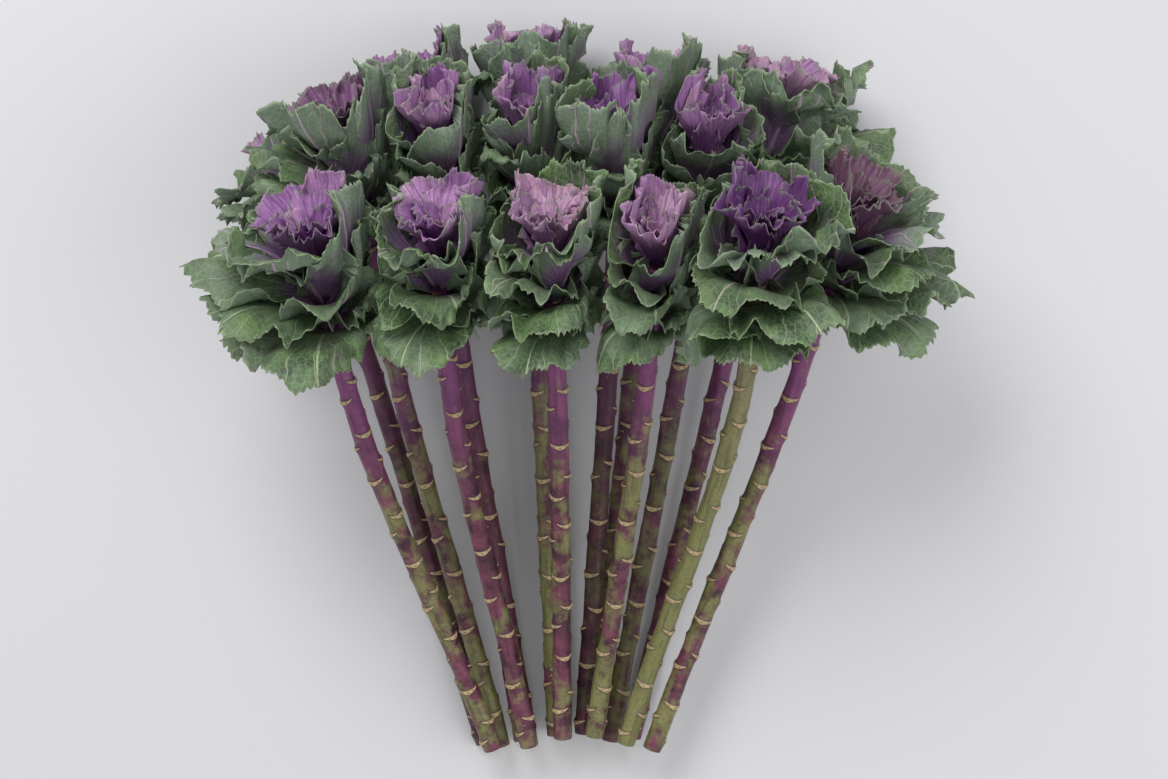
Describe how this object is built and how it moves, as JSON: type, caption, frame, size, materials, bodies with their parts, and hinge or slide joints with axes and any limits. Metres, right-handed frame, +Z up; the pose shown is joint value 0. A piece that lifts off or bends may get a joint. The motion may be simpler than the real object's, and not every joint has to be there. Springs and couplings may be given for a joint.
{
  "type": "purple kale bunch",
  "caption": "Bunch of cut ornamental kale lying on its side: bare purple stems, ruffled green outer leaves and frilled purple hearts.",
  "frame": {"origin": "on the surface that the bunch lies on, under the middle of its overall box", "axes": "+Z up from the surface, +Y from the cut ends towards the heads, +X to the right when seen from above with the heads at the top"},
  "size_m": [0.6185, 0.6301, 0.3338],
  "materials": {
    "green_leaf": "satin",
    "purple_leaf": "satin",
    "purple_stem": "satin"
  },
  "bodies": {
    "root": {"stem_top_1": "purple_stem", "leaves_top_1": "green_leaf", "heart_top_1": "purple_leaf", "stem_top_2": "purple_stem", "leaves_top_2": "green_leaf", "heart_top_2": "purple_leaf", "stem_top_3": "purple_stem", "leaves_top_3": "green_leaf", "heart_top_3": "purple_leaf", "stem_top_4": "purple_stem", "leaves_top_4": "green_leaf", "heart_top_4": "purple_leaf", "stem_top_5": "purple_stem", "leaves_top_5": "green_leaf", "heart_top_5": "purple_leaf", "stem_top_6": "purple_stem", "leaves_top_6": "green_leaf", "heart_top_6": "purple_leaf", "stem_middle_1": "purple_stem", "leaves_middle_1": "green_leaf", "heart_middle_1": "purple_leaf", "stem_middle_2": "purple_stem", "leaves_middle_2": "green_leaf", "heart_middle_2": "purple_leaf", "stem_middle_3": "purple_stem", "leaves_middle_3": "green_leaf", "heart_middle_3": "purple_leaf", "stem_middle_4": "purple_stem", "leaves_middle_4": "green_leaf", "heart_middle_4": "purple_leaf", "stem_middle_5": "purple_stem", "leaves_middle_5": "green_leaf", "heart_middle_5": "purple_leaf", "stem_bottom_1": "purple_stem", "leaves_bottom_1": "green_leaf", "heart_bottom_1": "purple_leaf", "stem_bottom_2": "purple_stem", "leaves_bottom_2": "green_leaf", "heart_bottom_2": "purple_leaf", "stem_bottom_3": "purple_stem", "leaves_bottom_3": "green_leaf", "heart_bottom_3": "purple_leaf", "stem_bottom_4": "purple_stem", "leaves_bottom_4": "green_leaf", "heart_bottom_4": "purple_leaf", "stem_bottom_5": "purple_stem", "leaves_bottom_5": "green_leaf", "heart_bottom_5": "purple_leaf"}
  },
  "joints": []
}
